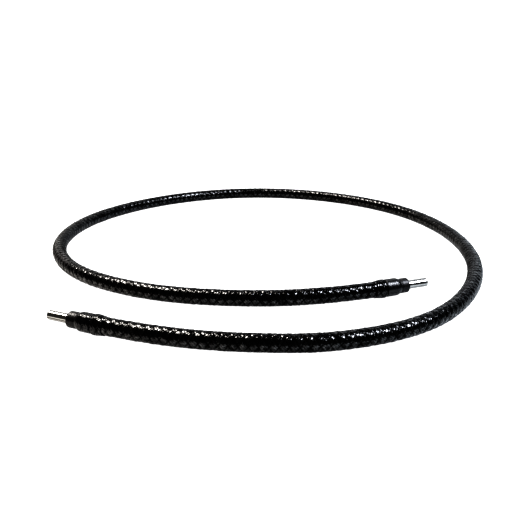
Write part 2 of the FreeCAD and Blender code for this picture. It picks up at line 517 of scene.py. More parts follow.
@dataclass(frozen=True)
class Ring:
    """A circle of a turned or swept wall: its middle, the way that the wall heads there, and its radius."""

    centre: Vector
    heading: Vector
    radius: float

    def points(self, around: int) -> list[Vector]:
        """Place points round the ring.

        Args:
            around: how many.

        Returns:
            The points, the first at the ring's left and the next above it.
        """
        side = Vector((0, 0, 1)).cross(self.heading).normalized() * self.radius
        up = self.heading.cross(side)
        angles = [math.tau * i / around for i in range(around)]
        return [self.centre + side * math.cos(angle) + up * math.sin(angle) for angle in angles]


def ring_mesh(name: str, rings: list[Ring], around: int) -> bpy.types.Mesh:
    """Join rings into a closed wall.

    Args:
        name: the mesh's name.
        rings: along the outside and back along the inside, the last joined to the first.
        around: points to a ring.

    Returns:
        The mesh, with its faces in the order of the rings and then round each.
    """
    verts = [point for ring in rings for point in ring.points(around)]
    faces = []
    for i in range(len(rings)):
        here = i * around
        after = (i + 1) % len(rings) * around
        for j in range(around):
            beside = (j + 1) % around
            faces.append((here + j, here + beside, after + beside, after + j))
    mesh = bpy.data.meshes.new(name)
    mesh.from_pydata(verts, [], faces)
    mesh.polygons.foreach_set("use_smooth", [True] * len(faces))
    return mesh


@dataclass
class HoseLayer:
    """An inner layer of the hose's wall, a closed tube along the middle line."""

    name: str
    outer_radius: float
    bore_radius: float
    step: float = 8.0 * MM  # between its rings
    around: int = 32

    def build(self, points: list[Vector], finish: bpy.types.Material) -> bpy.types.Object:
        """Make the layer.

        Args:
            points: the hose's middle line.
            finish: the layer's material.

        Returns:
            The layer.
        """
        middle = [(points[0], points[1] - points[0])]
        for before, here, after in zip(points, points[1:], points[2:]):
            if (here - middle[-1][0]).length >= self.step:
                middle.append((here, after - before))
        middle.append((points[-1], points[-1] - points[-2]))
        middle = [(place, heading.normalized()) for place, heading in middle]
        outside = [Ring(place, heading, self.outer_radius) for place, heading in middle]
        inside = [Ring(place, heading, self.bore_radius) for place, heading in reversed(middle)]
        mesh = ring_mesh(self.name, outside + inside, self.around)
        mesh.materials.append(finish)
        piece = bpy.data.objects.new(self.name, mesh)
        bpy.context.scene.collection.objects.link(piece)
        return piece


def evaluated_piece(
    name: str, mesh: bpy.types.Mesh, tree: bpy.types.NodeTree, inputs: dict[str, Any]
) -> bpy.types.Object:
    """Run a geometry tree on a mesh and keep the result as a plain piece.

    Args:
        name: the piece's name.
        mesh: what the tree starts from.
        tree: the geometry tree.
        inputs: values for the tree's inputs, by name.

    Returns:
        The piece, with no modifier left on it.
    """
    start = bpy.data.objects.new(f"{name}_start", mesh)
    bpy.context.scene.collection.objects.link(start)
    modifier = start.modifiers.new("shape", "NODES")
    modifier.node_group = tree
    for item in tree.interface.items_tree:
        if item.name in inputs:
            modifier[item.identifier] = inputs[item.name]
    shown = start.evaluated_get(bpy.context.evaluated_depsgraph_get())
    made = bpy.data.meshes.new_from_object(shown)
    start.modifiers.remove(modifier)
    bpy.data.objects.remove(start)
    made.name = name
    made.materials.clear()
    made.materials.append(inputs["Finish"])
    made.polygons.foreach_set("material_index", [0] * len(made.polygons))
    piece = bpy.data.objects.new(name, made)
    bpy.context.scene.collection.objects.link(piece)
    return piece


@dataclass
class BraidedCover:
    """The glossy cover, a closed tube that takes the braid's shape."""

    sizes: HoseSizes
    braid: Braid
    band_depth: float = 0.36 * MM
    rib_depth: float = 0.07 * MM
    sag_depth: float = 0.38 * MM  # how much lower one crossing lies than another
    sag_width: float = 7.0 * MM
    sag_span: tuple[float, float] = (0.3, 0.7)  # of the noise, from no sag to the full depth
    bore_step: float = 9.0 * MM

    def tree(self) -> bpy.types.NodeTree:
        """Build the geometry tree that sweeps the cover along the line and presses the braid into it.

        Returns:
            The tree, with the cover's sizes and finish as its inputs.
        """
        tree, given = start_tree(
            "braided_cover",
            {
                "Line": "Geometry",
                "Outer radius": "Float",
                "Bore radius": "Float",
                "Trim": "Float",
                "Rings": "Int",
                "Bore rings": "Int",
                "Band depth": "Float",
                "Rib depth": "Float",
                "Sag depth": "Float",
                "Finish": "Material",
            },
        )
        line = add_node(tree, "GeometryNodeMeshToCurve", given["Line"]).outputs[0]
        whole = add_node(tree, "GeometryNodeCurveLength", line).outputs[0]
        far = add_node(tree, "ShaderNodeMath", whole, given["Trim"], operation="SUBTRACT").outputs[0]
        cut = add_node(
            tree, "GeometryNodeTrimCurve", line, None, None, None, given["Trim"], far, mode="LENGTH"
        ).outputs[0]
        circle = add_node(
            tree, "GeometryNodeCurvePrimitiveCircle", feeds={"Resolution": self.braid.around, "Radius": 1.0}
        ).outputs[0]
        index = add_node(tree, "GeometryNodeInputIndex").outputs[0]
        lane_share = self.braid.bands / self.braid.around
        lane = add_node(tree, "ShaderNodeMath", index, lane_share, operation="MULTIPLY").outputs[0]
        ring = add_node(tree, "GeometryNodeCaptureAttribute", domain="POINT")
        ring.capture_items.new("FLOAT", "Lane")
        tree.links.new(circle, ring.inputs[0])
        tree.links.new(lane, ring.inputs["Lane"])

        mesh, centre, row = self.sweep(tree, cut, given["Rings"], ring.outputs[0])
        row_share = self.braid.step / self.braid.cell
        rows = add_node(tree, "ShaderNodeMath", row, row_share, operation="MULTIPLY").outputs[0]
        relief = self.braid.relief(tree, ring.outputs["Lane"], rows)
        radius = self.radius(tree, given, centre, row, relief)
        place = add_node(tree, "GeometryNodeInputPosition").outputs[0]
        outer_skin = self.resize(tree, mesh, place, centre, radius)
        mapped = self.map_braid(tree, outer_skin, ring.outputs["Lane"], rows)

        bore_mesh, bore_centre, _ = self.sweep(tree, cut, given["Bore rings"], ring.outputs[0])
        bore = self.resize(tree, bore_mesh, place, bore_centre, given["Bore radius"])
        bore_turned = add_node(tree, "GeometryNodeFlipFaces", bore).outputs[0]
        joined = add_node(tree, "GeometryNodeJoinGeometry")
        tree.links.new(bore_turned, joined.inputs[0])
        tree.links.new(mapped, joined.inputs[0])
        closed = add_node(
            tree, "GeometryNodeMergeByDistance", joined.outputs[0], feeds={"Distance": self.braid.step / 4}
        ).outputs[0]
        textured = add_node(
            tree,
            "GeometryNodeStoreNamedAttribute",
            closed,
            data_type="FLOAT",
            domain="POINT",
            feeds={"Name": "texture", "Value": 1.0},
        ).outputs[0]
        end_tree(tree, textured, given["Finish"])
        return tree

    def sweep(
        self, tree: bpy.types.NodeTree, line: Socket, rings: Socket, circle: Socket
    ) -> tuple[Socket, Socket, Socket]:
        """Add the nodes that sweep a unit circle along the line.

        Args:
            tree: the geometry tree.
            line: socket of the curve to follow.
            rings: socket with the number of rings.
            circle: socket of the circle.

        Returns:
            Sockets of the mesh, of each point's place on the middle line and of its ring's number.
        """
        even = add_node(
            tree, "GeometryNodeResampleCurve", feeds={"Curve": line, "Count": rings}, mode="COUNT"
        ).outputs[0]
        upright = add_node(tree, "GeometryNodeSetCurveNormal", even, mode="Z_UP").outputs[0]
        keep = add_node(tree, "GeometryNodeCaptureAttribute", domain="POINT")
        keep.capture_items.new("VECTOR", "Centre")
        keep.capture_items.new("FLOAT", "Ring")
        tree.links.new(upright, keep.inputs[0])
        tree.links.new(add_node(tree, "GeometryNodeInputPosition").outputs[0], keep.inputs["Centre"])
        tree.links.new(add_node(tree, "GeometryNodeInputIndex").outputs[0], keep.inputs["Ring"])
        swept = add_node(
            tree, "GeometryNodeCurveToMesh", feeds={"Curve": keep.outputs[0], "Profile Curve": circle}
        ).outputs[0]
        return swept, keep.outputs["Centre"], keep.outputs["Ring"]

    def radius(
        self, tree: bpy.types.NodeTree, given: Any, centre: Socket, row: Socket, relief: tuple[Socket, ...]
    ) -> Socket:
        """Add the nodes that say how far each point of the outside lies from the middle line.

        Args:
            tree: the geometry tree.
            given: the sockets of its inputs.
            centre: socket of each point's place on the middle line.
            row: socket of its ring's number.
            relief: the braid's sockets.

        Returns:
            Socket of the radius. The first and last rings take the bore's, which closes the tube's ends.
        """
        back, rib, crossing, _ = relief
        uneven = add_node(
            tree,
            "ShaderNodeTexNoise",
            feeds={"Vector": centre, "W": crossing, "Scale": 1 / self.sag_width, "Detail": 1.0},
            noise_dimensions="4D",
        ).outputs[0]
        sag = add_node(
            tree, "ShaderNodeMapRange", uneven, *self.sag_span, 0.0, given["Sag depth"]
        ).outputs[0]
        steps = {
            "low band": ("SUBTRACT", 1.0, "back"),
            "low rib": ("SUBTRACT", 1.0, "rib"),
            "sunk": ("MULTIPLY_ADD", "low band", "Band depth", "sag"),
            "deep": ("MULTIPLY_ADD", "low rib", "Rib depth", "sunk"),
            "skin": ("SUBTRACT", "Outer radius", "deep"),
            "at start": ("LESS_THAN", "row", 0.5),
            "before end": ("SUBTRACT", "Rings", 1.5),
            "at end": ("GREATER_THAN", "row", "before end"),
            "edge": ("MAXIMUM", "at start", "at end"),
            "inwards": ("SUBTRACT", "Bore radius", "skin"),
            "radius": ("MULTIPLY_ADD", "inwards", "edge", "skin"),
        }
        found = {**dict(given.items()), "back": back, "rib": rib, "sag": sag, "row": row}
        for name, (operation, *values) in steps.items():
            known = [found.get(value, value) for value in values]
            found[name] = add_node(tree, "ShaderNodeMath", *known, operation=operation).outputs[0]
        return found["radius"]

    def resize(
        self, tree: bpy.types.NodeTree, mesh: Socket, place: Socket, centre: Socket, radius: Socket
    ) -> Socket:
        """Add the nodes that bring a unit tube's points to a radius.

        Args:
            tree: the geometry tree.
            mesh: socket of the tube.
            place: socket of each point's place.
            centre: socket of the middle line's place beside it.
            radius: socket of its distance from there.

        Returns:
            Socket of the resized tube.
        """
        arm = add_node(tree, "ShaderNodeVectorMath", place, centre, operation="SUBTRACT").outputs[0]
        reach = add_node(
            tree, "ShaderNodeVectorMath", arm, operation="SCALE", feeds={"Scale": radius}
        ).outputs[0]
        target = add_node(tree, "ShaderNodeVectorMath", centre, reach, operation="ADD").outputs[0]
        return add_node(tree, "GeometryNodeSetPosition", mesh, feeds={"Position": target}).outputs[0]

    def map_braid(self, tree: bpy.types.NodeTree, mesh: Socket, lane: Socket, rows: Socket) -> Socket:
        """Add the nodes that keep each corner's lane and row as a map with no jump at the seam.

        Args:
            tree: the geometry tree.
            mesh: socket of the cover.
            lane: socket that counts bands round the hose.
            rows: socket that counts crossings along it.

        Returns:
            Socket of the mapped mesh.
        """
        mean = add_node(
            tree, "GeometryNodeFieldOnDomain", lane, domain="FACE", data_type="FLOAT"
        ).outputs[0]
        behind = add_node(tree, "ShaderNodeMath", mean, lane, operation="SUBTRACT").outputs[0]
        jumps = add_node(
            tree, "ShaderNodeMath", behind, self.braid.bands / 4, operation="GREATER_THAN"
        ).outputs[0]
        lanes = add_node(
            tree, "ShaderNodeMath", jumps, float(self.braid.bands), lane, operation="MULTIPLY_ADD"
        ).outputs[0]
        pair = add_node(tree, "ShaderNodeCombineXYZ", lanes, rows).outputs[0]
        return add_node(
            tree,
            "GeometryNodeStoreNamedAttribute",
            mesh,
            data_type="FLOAT2",
            domain="CORNER",
            feeds={"Name": "braid", "Value": pair},
        ).outputs[0]

    def build(self, points: list[Vector], finish: bpy.types.Material) -> bpy.types.Object:
        """Make the cover.

        Args:
            points: the hose's middle line.
            finish: its material.

        Returns:
            The cover.
        """
        mesh = bpy.data.meshes.new("hose_cover_line")
        mesh.from_pydata(points, [(i, i + 1) for i in range(len(points) - 1)], [])
        trim = self.sizes.cover_start - self.sizes.hose_seat
        length = line_length(points) - 2 * trim
        inputs = {
            "Outer radius": self.sizes.crest_radius,
            "Bore radius": self.sizes.braid_radius,
            "Trim": trim,
            "Rings": round(length / self.braid.step) + 1,
            "Bore rings": round(length / self.bore_step) + 1,
            "Band depth": self.band_depth,
            "Rib depth": self.rib_depth,
            "Sag depth": self.sag_depth,
            "Finish": finish,
        }
        return evaluated_piece("braided_cover", mesh, self.tree(), inputs)


@dataclass
class ShrunkSleeve:
    """A black sleeve shrunk over a fitting's shoulder, its collar and the end of the cover."""

    end: str
    sizes: HoseSizes
    braid: Braid
    texture: Texture
    rib_depth: float = 0.28 * MM
    fineness: float = 0.45 * MM  # between the points of the outside
    around: int = 72
    bend_steps: int = 6  # of a rounded corner
    bend_share: float = 0.49  # of a straight stretch that one corner's rounding may take

    def outside(self) -> list[tuple[float, float, float]]:
        """Work out the corners of the outside, from the nose to the tail.

        Returns:
            The corners as (place from the stub's tip, radius, rounding).
        """
        s = self.sizes
        wall = s.sleeve_wall
        waist_radius = s.shoulder_radius - s.waist_sink
        seam = s.collar_rear + s.cover_gap / 2
        return [
            (s.stub_length, s.neck_radius, 0.0),
            (s.stub_length, s.shoulder_radius + wall, s.shoulder_round + wall),
            (s.shoulder_back, s.shoulder_radius + wall, wall),
            ((s.shoulder_back + s.groove_front) / 2, waist_radius + wall, wall),
            (s.collar_front + s.collar_chamfer_length, s.collar_radius + wall, 2 * wall),
            (s.collar_rear - s.seam_edge, s.collar_radius + wall, 2 * s.seam_edge),
            (seam, s.collar_radius - s.seam_fall + wall, s.seam_edge),
            (s.cover_start + s.seam_edge, s.crest_radius + s.tail_wall, s.tail_wall / 2),
            (s.cover_start + s.tail_land, s.crest_radius + s.tail_wall, s.tail_land),
            (s.tail_end, s.crest_radius + s.tail_edge, 0.0),
        ]

    def inside(self) -> list[tuple[float, float]]:
        """Work out the corners of the inside, from the tail to the nose.

        Returns:
            The corners as (place from the stub's tip, radius).
        """
        s = self.sizes
        waist_radius = s.shoulder_radius - s.waist_sink
        return [
            (s.tail_end, s.crest_radius),
            (s.cover_start, s.crest_radius),
            (s.collar_rear + s.cover_gap / 2, s.collar_radius - s.seam_fall),
            (s.collar_rear, s.collar_radius),
            (s.collar_front + s.collar_chamfer_length, s.collar_radius),
            (s.collar_front, s.collar_radius - s.collar_chamfer_height),
            (s.groove_front - s.waist_sink, waist_radius),
            (s.shoulder_back + s.waist_sink, waist_radius),
            (s.shoulder_back, s.shoulder_radius),
            (s.shoulder_front + s.shoulder_round, s.shoulder_radius),
            (s.shoulder_front, s.shoulder_radius - s.shoulder_round),
            (s.shoulder_front, s.neck_radius),
        ]

    def rounded_outside(self) -> list[tuple[float, float]]:
        """Round the outside's corners, and place its points close enough to carry the braid.

        Returns:
            The points as (place from the stub's tip, radius).
        """
        corners = self.outside()
        points = [Vector((place, radius)) for place, radius, _ in corners]
        bent = [points[0]]
        for before, corner, after, (_, _, rounding) in zip(points, points[1:], points[2:], corners[1:]):
            back = before - corner
            ahead = after - corner
            reach = min(rounding, back.length * self.bend_share, ahead.length * self.bend_share)
            start = corner + back.normalized() * reach
            end = corner + ahead.normalized() * reach
            for i in range(self.bend_steps + 1):
                share = i / self.bend_steps
                bent.append(start.lerp(corner, share).lerp(corner.lerp(end, share), share))
        bent.append(points[-1])
        fine = [bent[0]]
        for point in bent[1:]:
            gap = point - fine[-1]
            pieces = max(1, math.ceil(gap.length / self.fineness))
            start = fine[-1]
            for i in range(1, pieces + 1):
                fine.append(start + gap * (i / pieces))
        return [(point.x, point.y) for point in fine]

    def share(self, place: float) -> float:
        """Work out how clearly the braid shows: not at the nose, and fully at the tail.

        Args:
            place: where, from the stub's tip.

        Returns:
            The share of its relief, from 0 to 1.
        """
        s = self.sizes
        barrel = s.collar_front + s.collar_chamfer_length
        if place < s.groove_front:
            return 0.0
        if place < barrel:
            return self.texture.value * (place - s.groove_front) / (barrel - s.groove_front)
        if place < s.collar_rear:
            return self.texture.value
        return min(1.0, self.texture.value + (place - s.collar_rear) / s.tail_land)

    def tree(self) -> bpy.types.NodeTree:
        """Build the geometry tree that presses the braid into the sleeve's outside.

        Returns:
            The tree, with the depth and the finish as its inputs.
        """
        tree, given = start_tree(
            "sleeve_relief", {"Sleeve": "Geometry", "Rib depth": "Float", "Finish": "Material"}
        )
        named = {}
        for name in ("lanes", "rows", "texture"):
            named[name] = add_node(
                tree, "GeometryNodeInputNamedAttribute", data_type="FLOAT", feeds={"Name": name}
            ).outputs[0]
        back, rib, _, _ = self.braid.relief(tree, named["lanes"], named["rows"])
        high = add_node(tree, "ShaderNodeMath", back, rib, operation="ADD").outputs[0]
        low = add_node(tree, "ShaderNodeMath", high, 0.5, -1.0, operation="MULTIPLY_ADD").outputs[0]
        deep = add_node(tree, "ShaderNodeMath", low, given["Rib depth"], operation="MULTIPLY").outputs[0]
        shown = add_node(tree, "ShaderNodeMath", deep, named["texture"], operation="MULTIPLY").outputs[0]
        normal = add_node(tree, "GeometryNodeInputNormal").outputs[0]
        offset = add_node(
            tree, "ShaderNodeVectorMath", normal, operation="SCALE", feeds={"Scale": shown}
        ).outputs[0]
        pressed = add_node(
            tree, "GeometryNodeSetPosition", given["Sleeve"], feeds={"Offset": offset}
        ).outputs[0]
        end_tree(tree, pressed, given["Finish"])
        return tree

    def build(self, seat: Vector, ahead: Vector, finish: bpy.types.Material) -> bpy.types.Object:
        """Make the sleeve.

        Args:
            seat: the end of the hose's route.
            ahead: the route's next point, which the fitting points at.
            finish: its material.

        Returns:
            The sleeve.
        """
        heading = (ahead - seat).normalized()
        tip = seat - heading * self.sizes.hose_seat
        skin = self.rounded_outside()
        outline = skin + self.inside()
        rings = [Ring(tip + heading * place, heading, radius) for place, radius in outline]
        mesh = ring_mesh(f"sleeve_{self.end}_lathe", rings, self.around)
        lanes = [self.braid.bands * j / self.around for j in range(self.around)] * len(outline)
        rows = []
        shares = []
        for i, (place, _) in enumerate(outline):
            share = self.share(place) if 0 < i < len(skin) - 1 else 0.0
            rows += [(place - self.sizes.cover_start) / self.braid.cell] * self.around
            shares += [share] * self.around
        corners = []
        for i in range(len(outline)):
            row = rows[i * self.around]
            next_row = rows[(i + 1) % len(outline) * self.around]
            for lane in lanes[: self.around]:
                next_lane = lane + self.braid.bands / self.around
                corners += [(lane, row), (next_lane, row), (next_lane, next_row), (lane, next_row)]
        for name, values in (("lanes", lanes), ("rows", rows), ("texture", shares)):
            layer = mesh.attributes.new(name, "FLOAT", "POINT")
            layer.data.foreach_set("value", values)
        uv = mesh.uv_layers.new(name="braid")
        uv.data.foreach_set("uv", [value for pair in corners for value in pair])
        inputs = {"Rib depth": self.rib_depth, "Finish": finish}
        return evaluated_piece(f"shrunk_sleeve_{self.end}", mesh, self.tree(), inputs)


@dataclass(frozen=True)
class TurnedSteel:
    """Stainless steel turned on a lathe and polished: hard bands of light with faint rings in them."""

    name: str
    colour: str
    roughness: float
    axis: Vector
    ring_spacing: float = 0.25 * MM
    ring_depth: float = 0.002 * MM
    mark_width: float = 6.0 * MM  # of the marks that handling leaves
    mark_span: tuple[float, float] = (0.35, 0.75)  # of the noise, from clean to marked
    mark_dulling: tuple[float, float] = (0.8, 1.5)  # times the roughness

    def material(self) -> bpy.types.Material:
        """Build the steel's material, its rings square to the piece's axis.

        Returns:
            The material.
        """
        made, tree = empty_material(self.name)
        place = add_node(tree, "ShaderNodeTexCoord").outputs["Object"]
        along = add_node(
            tree, "ShaderNodeVectorMath", place, tuple(self.axis), operation="DOT_PRODUCT"
        ).outputs["Value"]
        stretched = add_node(tree, "ShaderNodeCombineXYZ", along).outputs[0]
        rings = add_node(
            tree,
            "ShaderNodeTexNoise",
            feeds={"Vector": stretched, "Scale": 1 / self.ring_spacing, "Detail": 2.0},
        ).outputs["Fac"]
        marks = add_node(
            tree,
            "ShaderNodeTexNoise",
            feeds={"Vector": place, "Scale": 1 / self.mark_width, "Detail": 4.0, "Roughness": 0.6},
        ).outputs["Fac"]
        roughness = [self.roughness * times for times in self.mark_dulling]
        worn = add_node(tree, "ShaderNodeMapRange", marks, *self.mark_span, *roughness).outputs[0]
        bump = add_node(
            tree, "ShaderNodeBump", feeds={"Distance": self.ring_depth, "Height": rings}
        ).outputs[0]
        colour = linear_colour(self.colour)
        end_material(tree, {"Base Color": colour, "Metallic": 1.0, "Roughness": worn, "Normal": bump})
        return made


@dataclass(frozen=True)
class WireBraid:
    """Bright drawn steel wire woven round the liner: a diamond weave, shinier on the backs of the wires."""

    name: str = "drawn_steel_wire_braid"
    colour: str = "#a9aaa8"
    lay: float = 54.7  # degrees that the wires turn from the pattern's own axis
    weave_width: float = 5.655 * MM  # about twenty wires, because single ones are too fine to show
    wire_depth: float = 0.12 * MM
    dullness: tuple[float, float] = (0.5, 0.25)  # roughness in the gaps and on the backs
    wave_width: float = math.tau / 20  # of Blender's wave pattern at a scale of 1

    def material(self) -> bpy.types.Material:
        """Build the wire's material from two crossing waves.

        Returns:
            The material.
        """
        made, tree = empty_material(self.name)
        place = add_node(tree, "ShaderNodeTexCoord").outputs["Object"]
        scale = self.wave_width / self.weave_width
        waves = []
        for way in (1, -1):
            turn = (0.0, 0.0, way * math.radians(self.lay))
            turned = add_node(tree, "ShaderNodeMapping", place, None, turn).outputs[0]
            wave = add_node(tree, "ShaderNodeTexWave", feeds={"Vector": turned, "Scale": scale})
            waves.append(wave.outputs["Fac"])
        weave = add_node(tree, "ShaderNodeMath", *waves, operation="MAXIMUM").outputs[0]
        bump = add_node(
            tree, "ShaderNodeBump", feeds={"Distance": self.wire_depth, "Height": weave}
        ).outputs[0]
        dull = add_node(tree, "ShaderNodeMapRange", weave, 0.0, 1.0, *self.dullness).outputs[0]
        colour = linear_colour(self.colour)
        end_material(tree, {"Base Color": colour, "Metallic": 1.0, "Roughness": dull, "Normal": bump})
        return made


@dataclass(frozen=True)
class CarbonLiner:
    """Extruded fluoropolymer filled with carbon black: near black and waxy, with a faint grain."""

    name: str = "carbon_filled_liner"
    colour: str = "#2b2b2d"
    roughness: float = 0.42
    ior: float = 1.38
    grain_width: float = 0.8 * MM
    grain_depth: float = 0.01 * MM
    grain_span: tuple[float, float] = (0.3, 0.7)  # of the noise, from smooth to grainy
    grain_dulling: tuple[float, float] = (0.9, 1.2)  # times the roughness

    def material(self) -> bpy.types.Material:
        """Build the liner's material.

        Returns:
            The material.
        """
        made, tree = empty_material(self.name)
        place = add_node(tree, "ShaderNodeTexCoord").outputs["Object"]
        grain = add_node(
            tree,
            "ShaderNodeTexNoise",
            feeds={"Vector": place, "Scale": 1 / self.grain_width, "Detail": 3.0},
        ).outputs["Fac"]
        roughness = [self.roughness * times for times in self.grain_dulling]
        dull = add_node(tree, "ShaderNodeMapRange", grain, *self.grain_span, *roughness).outputs[0]
        bump = add_node(
            tree, "ShaderNodeBump", feeds={"Distance": self.grain_depth, "Height": grain}
        ).outputs[0]
        colour = linear_colour(self.colour)
        end_material(tree, {"Base Color": colour, "Roughness": dull, "IOR": self.ior, "Normal": bump})
        return made


@dataclass(frozen=True)
class SoftBox:
    """A soft box that faces the hose, shows in its gloss and leaves the floor alone."""

    name: str
    place: tuple[float, float, float]
    colour: str
    radiance: float = 29.0
    spread: float = 0.28  # its width over its distance
    height_share: float = 1.5  # its height over its width

    def hang(self) -> None:
        """Hang the box."""
        place = Vector(self.place)
        width = self.spread * place.length
        height = width * self.height_share
        data = bpy.data.lights.new(self.name, "AREA")
        data.shape = "RECTANGLE"
        data.size = width
        data.size_y = height
        data.energy = self.radiance * math.pi * width * height
        data.color = linear_colour(self.colour)[:3]
        light = bpy.data.objects.new(self.name, data)
        light.location = place
        light.rotation_euler = place.to_track_quat("Z", "Y").to_euler()
        light.visible_diffuse = False
        bpy.context.scene.collection.objects.link(light)


@dataclass(frozen=True)
class Slope:
    """A level of the room that changes with one measure of the direction."""

    measure: str
    start: float  # the measure where the change starts
    end: float
    before: float  # the level up to there
    after: float
    shape: str = "SMOOTHSTEP"


@dataclass(frozen=True)
class Room:
    """The room that shows in the gloss: dark in front, grey panels behind and a pale table below."""

    level: float = 0.12  # of the dark parts
    warm: str = "#d6d2cd"  # its left
    cool: str = "#ccd3db"  # its right
    panels: float = 5.5  # how finely it is cut into panels
    side_lift: float = 1.6  # how much sooner the room starts at the sides
    lean_back: float = 0.35  # how much further forward it reaches overhead
    step_back: float = -0.5  # how much further back it starts above the horizon
    back: Slope = Slope("depth", 0.0, 0.35, 0.0, 1.05)
    halo_level: float = 0.2
    halo_inner: float = 12.0  # degrees from the middle of a soft box
    halo_outer: float = 38.0

    def slopes(self) -> dict[str, Slope]:
        """Say which measure each level follows, and how.

        Returns:
            The slopes by the level's name.
        """
        return {
            "tint": Slope("X", -0.7, 0.7, 0.0, 1.0, "LINEAR"),
            "lean": Slope("X", -0.5, 0.5, 1.1, 0.75, "LINEAR"),  # lighter on the left
            "panel": Slope("clutter", 0.42, 0.58, 0.1, 1.9, "LINEAR"),
            "rise": Slope("lift", 0.0, 1.0, 0.0, 1.0),
            "fade": Slope("Z", 0.75, 0.92, 1.0, 0.0),  # into the dark ceiling
            "above": Slope("Z", -0.2, 0.15, 0.0, 1.0),
            "low": Slope("Z", 0.3, 0.5, 1.0, 0.0),
            "aside": Slope("sideways", 0.42, 0.62, 0.0, 0.7),
            "middle": Slope("sideways", 0.15, 0.5, 0.22, 0.0),
            "standing": Slope("Z", -0.3, -0.05, 0.0, 1.0),
            "below": Slope("Z", 0.05, -0.3, 0.0, 1.0),
            "table": Slope("Y", 0.15, 0.5, 1.25, 0.55),  # lighter in front than behind
            "shade": Slope("Z", -0.95, -0.65, 0.35, 1.0, "LINEAR"),  # right under the hose
        }

    def measures(self, tree: bpy.types.NodeTree, look: Socket) -> dict[str, Socket]:
        """Add the nodes that measure a direction.

        Args:
            tree: the world's tree.
            look: socket of the direction.

        Returns:
            The measures' sockets by name.
        """
        split = add_node(tree, "ShaderNodeSeparateXYZ", look).outputs
        sideways = add_node(tree, "ShaderNodeMath", split["X"], operation="ABSOLUTE").outputs[0]
        lift = add_node(
            tree, "ShaderNodeMath", sideways, self.side_lift, split["Z"], operation="MULTIPLY_ADD"
        ).outputs[0]
        clutter = add_node(
            tree, "ShaderNodeTexNoise", feeds={"Vector": look, "Scale": self.panels, "Detail": 0.0}
        ).outputs["Fac"]
        return {**dict(split.items()), "sideways": sideways, "lift": lift, "clutter": clutter}

    def brightness(self, tree: bpy.types.NodeTree, look: Socket) -> tuple[Socket, Socket]:
        """Add the nodes that say how bright the room is in a direction, before its boxes.

        Args:
            tree: the world's tree.
            look: socket of the direction.

        Returns:
            Sockets of the brightness and of the share of the cooler tint.
        """
        measures = self.measures(tree, look)
        levels = {}
        for name, slope in self.slopes().items():
            span = (slope.start, slope.end, slope.before, slope.after)
            levels[name] = add_node(
                tree, "ShaderNodeMapRange", measures[slope.measure], *span, interpolation_type=slope.shape
            ).outputs[0]

        leant = add_node(
            tree, "ShaderNodeMath", measures["Z"], self.lean_back, measures["Y"], operation="MULTIPLY_ADD"
        ).outputs[0]
        depth = add_node(
            tree, "ShaderNodeMath", levels["above"], self.step_back, leant, operation="MULTIPLY_ADD"
        ).outputs[0]
        span = (self.back.start, self.back.end, self.back.before, self.back.after)
        levels["behind"] = add_node(
            tree, "ShaderNodeMapRange", depth, *span, interpolation_type=self.back.shape
        ).outputs[0]
        steps = {
            "shown": ("MULTIPLY", "rise", "fade"),
            "leaning": ("MULTIPLY", "shown", "lean"),
            "gap": ("MULTIPLY", "low", "aside"),
            "kept": ("SUBTRACT", 1.0, "gap"),
            "broken": ("MULTIPLY", "leaning", "kept"),
            "upright": ("MULTIPLY", "middle", "standing"),
            "backdrop": ("MULTIPLY_ADD", "upright", "low", "broken"),
            "band": ("MULTIPLY", "backdrop", "panel"),
            "walls": ("MULTIPLY_ADD", "band", "behind", self.level),
            "clear": ("MULTIPLY", "table", "shade"),
            "laid": ("MULTIPLY", "clear", "panel"),
            "whole": ("MULTIPLY_ADD", "below", "laid", "walls"),
        }
        for name, (operation, *values) in steps.items():
            known = [levels.get(value, value) for value in values]
            levels[name] = add_node(tree, "ShaderNodeMath", *known, operation=operation).outputs[0]
        return levels["whole"], levels["tint"]

    def build(self, boxes: tuple[SoftBox, ...]) -> None:
        """Build the room as the scene's world.

        Args:
            boxes: the soft boxes, each with a halo round it.
        """
        world = bpy.data.worlds.new("studio_room")
        world.use_nodes = True
        bpy.context.scene.world = world
        tree = world.node_tree
        tree.nodes.clear()
        look = add_node(tree, "ShaderNodeTexCoord").outputs["Generated"]
        lit, cooler = self.brightness(tree, look)
        edges = [math.cos(math.radians(angle)) for angle in (self.halo_outer, self.halo_inner)]
        for box in boxes:
            toward = tuple(Vector(box.place).normalized())
            near = add_node(
                tree, "ShaderNodeVectorMath", look, toward, operation="DOT_PRODUCT"
            ).outputs["Value"]
            halo = add_node(
                tree,
                "ShaderNodeMapRange",
                near,
                *edges,
                0.0,
                self.halo_level,
                interpolation_type="SMOOTHSTEP",
            ).outputs[0]
            lit = add_node(tree, "ShaderNodeMath", lit, halo, operation="ADD").outputs[0]
        colours = {"A": linear_colour(self.warm), "B": linear_colour(self.cool)}
        tint = add_node(
            tree, "ShaderNodeMix", data_type="RGBA", feeds={"Factor": cooler, **colours}
        ).outputs["Result"]
        glow = add_node(tree, "ShaderNodeBackground", feeds={"Color": tint, "Strength": lit})
        add_node(tree, "ShaderNodeOutputWorld", glow.outputs[0])


